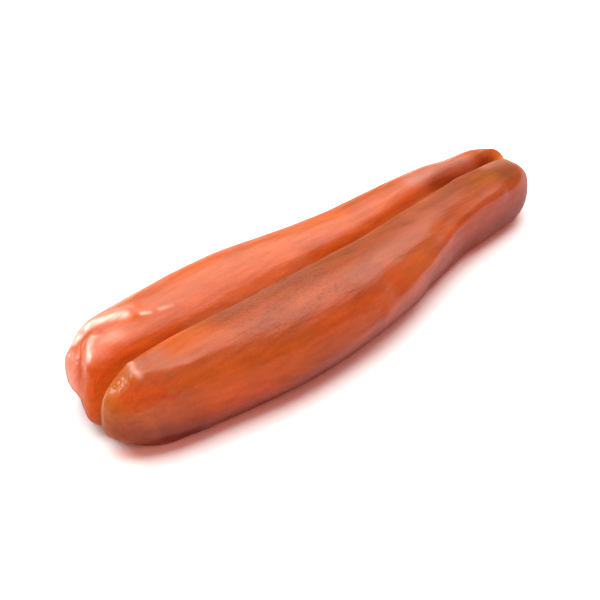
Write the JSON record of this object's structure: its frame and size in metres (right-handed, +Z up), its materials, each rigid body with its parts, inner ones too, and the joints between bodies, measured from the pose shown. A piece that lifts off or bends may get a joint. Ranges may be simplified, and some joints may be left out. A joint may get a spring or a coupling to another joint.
{
  "type": "cured fish roe",
  "caption": "Whole pair of cured, pressed and dried fish roe lobes, joined along a groove and tapering to a fused end; lies flat on a surface.",
  "frame": {"origin": "middle of the footprint, on the surface that the roe lies on", "axes": "+X along the length from the broad end to the narrow end, +Y towards the left lobe, +Z up"},
  "size_m": [0.182, 0.0548, 0.0232],
  "materials": {
    "cured_roe": "gloss"
  },
  "bodies": {
    "root": {"roe_pair": "cured_roe"}
  },
  "joints": []
}
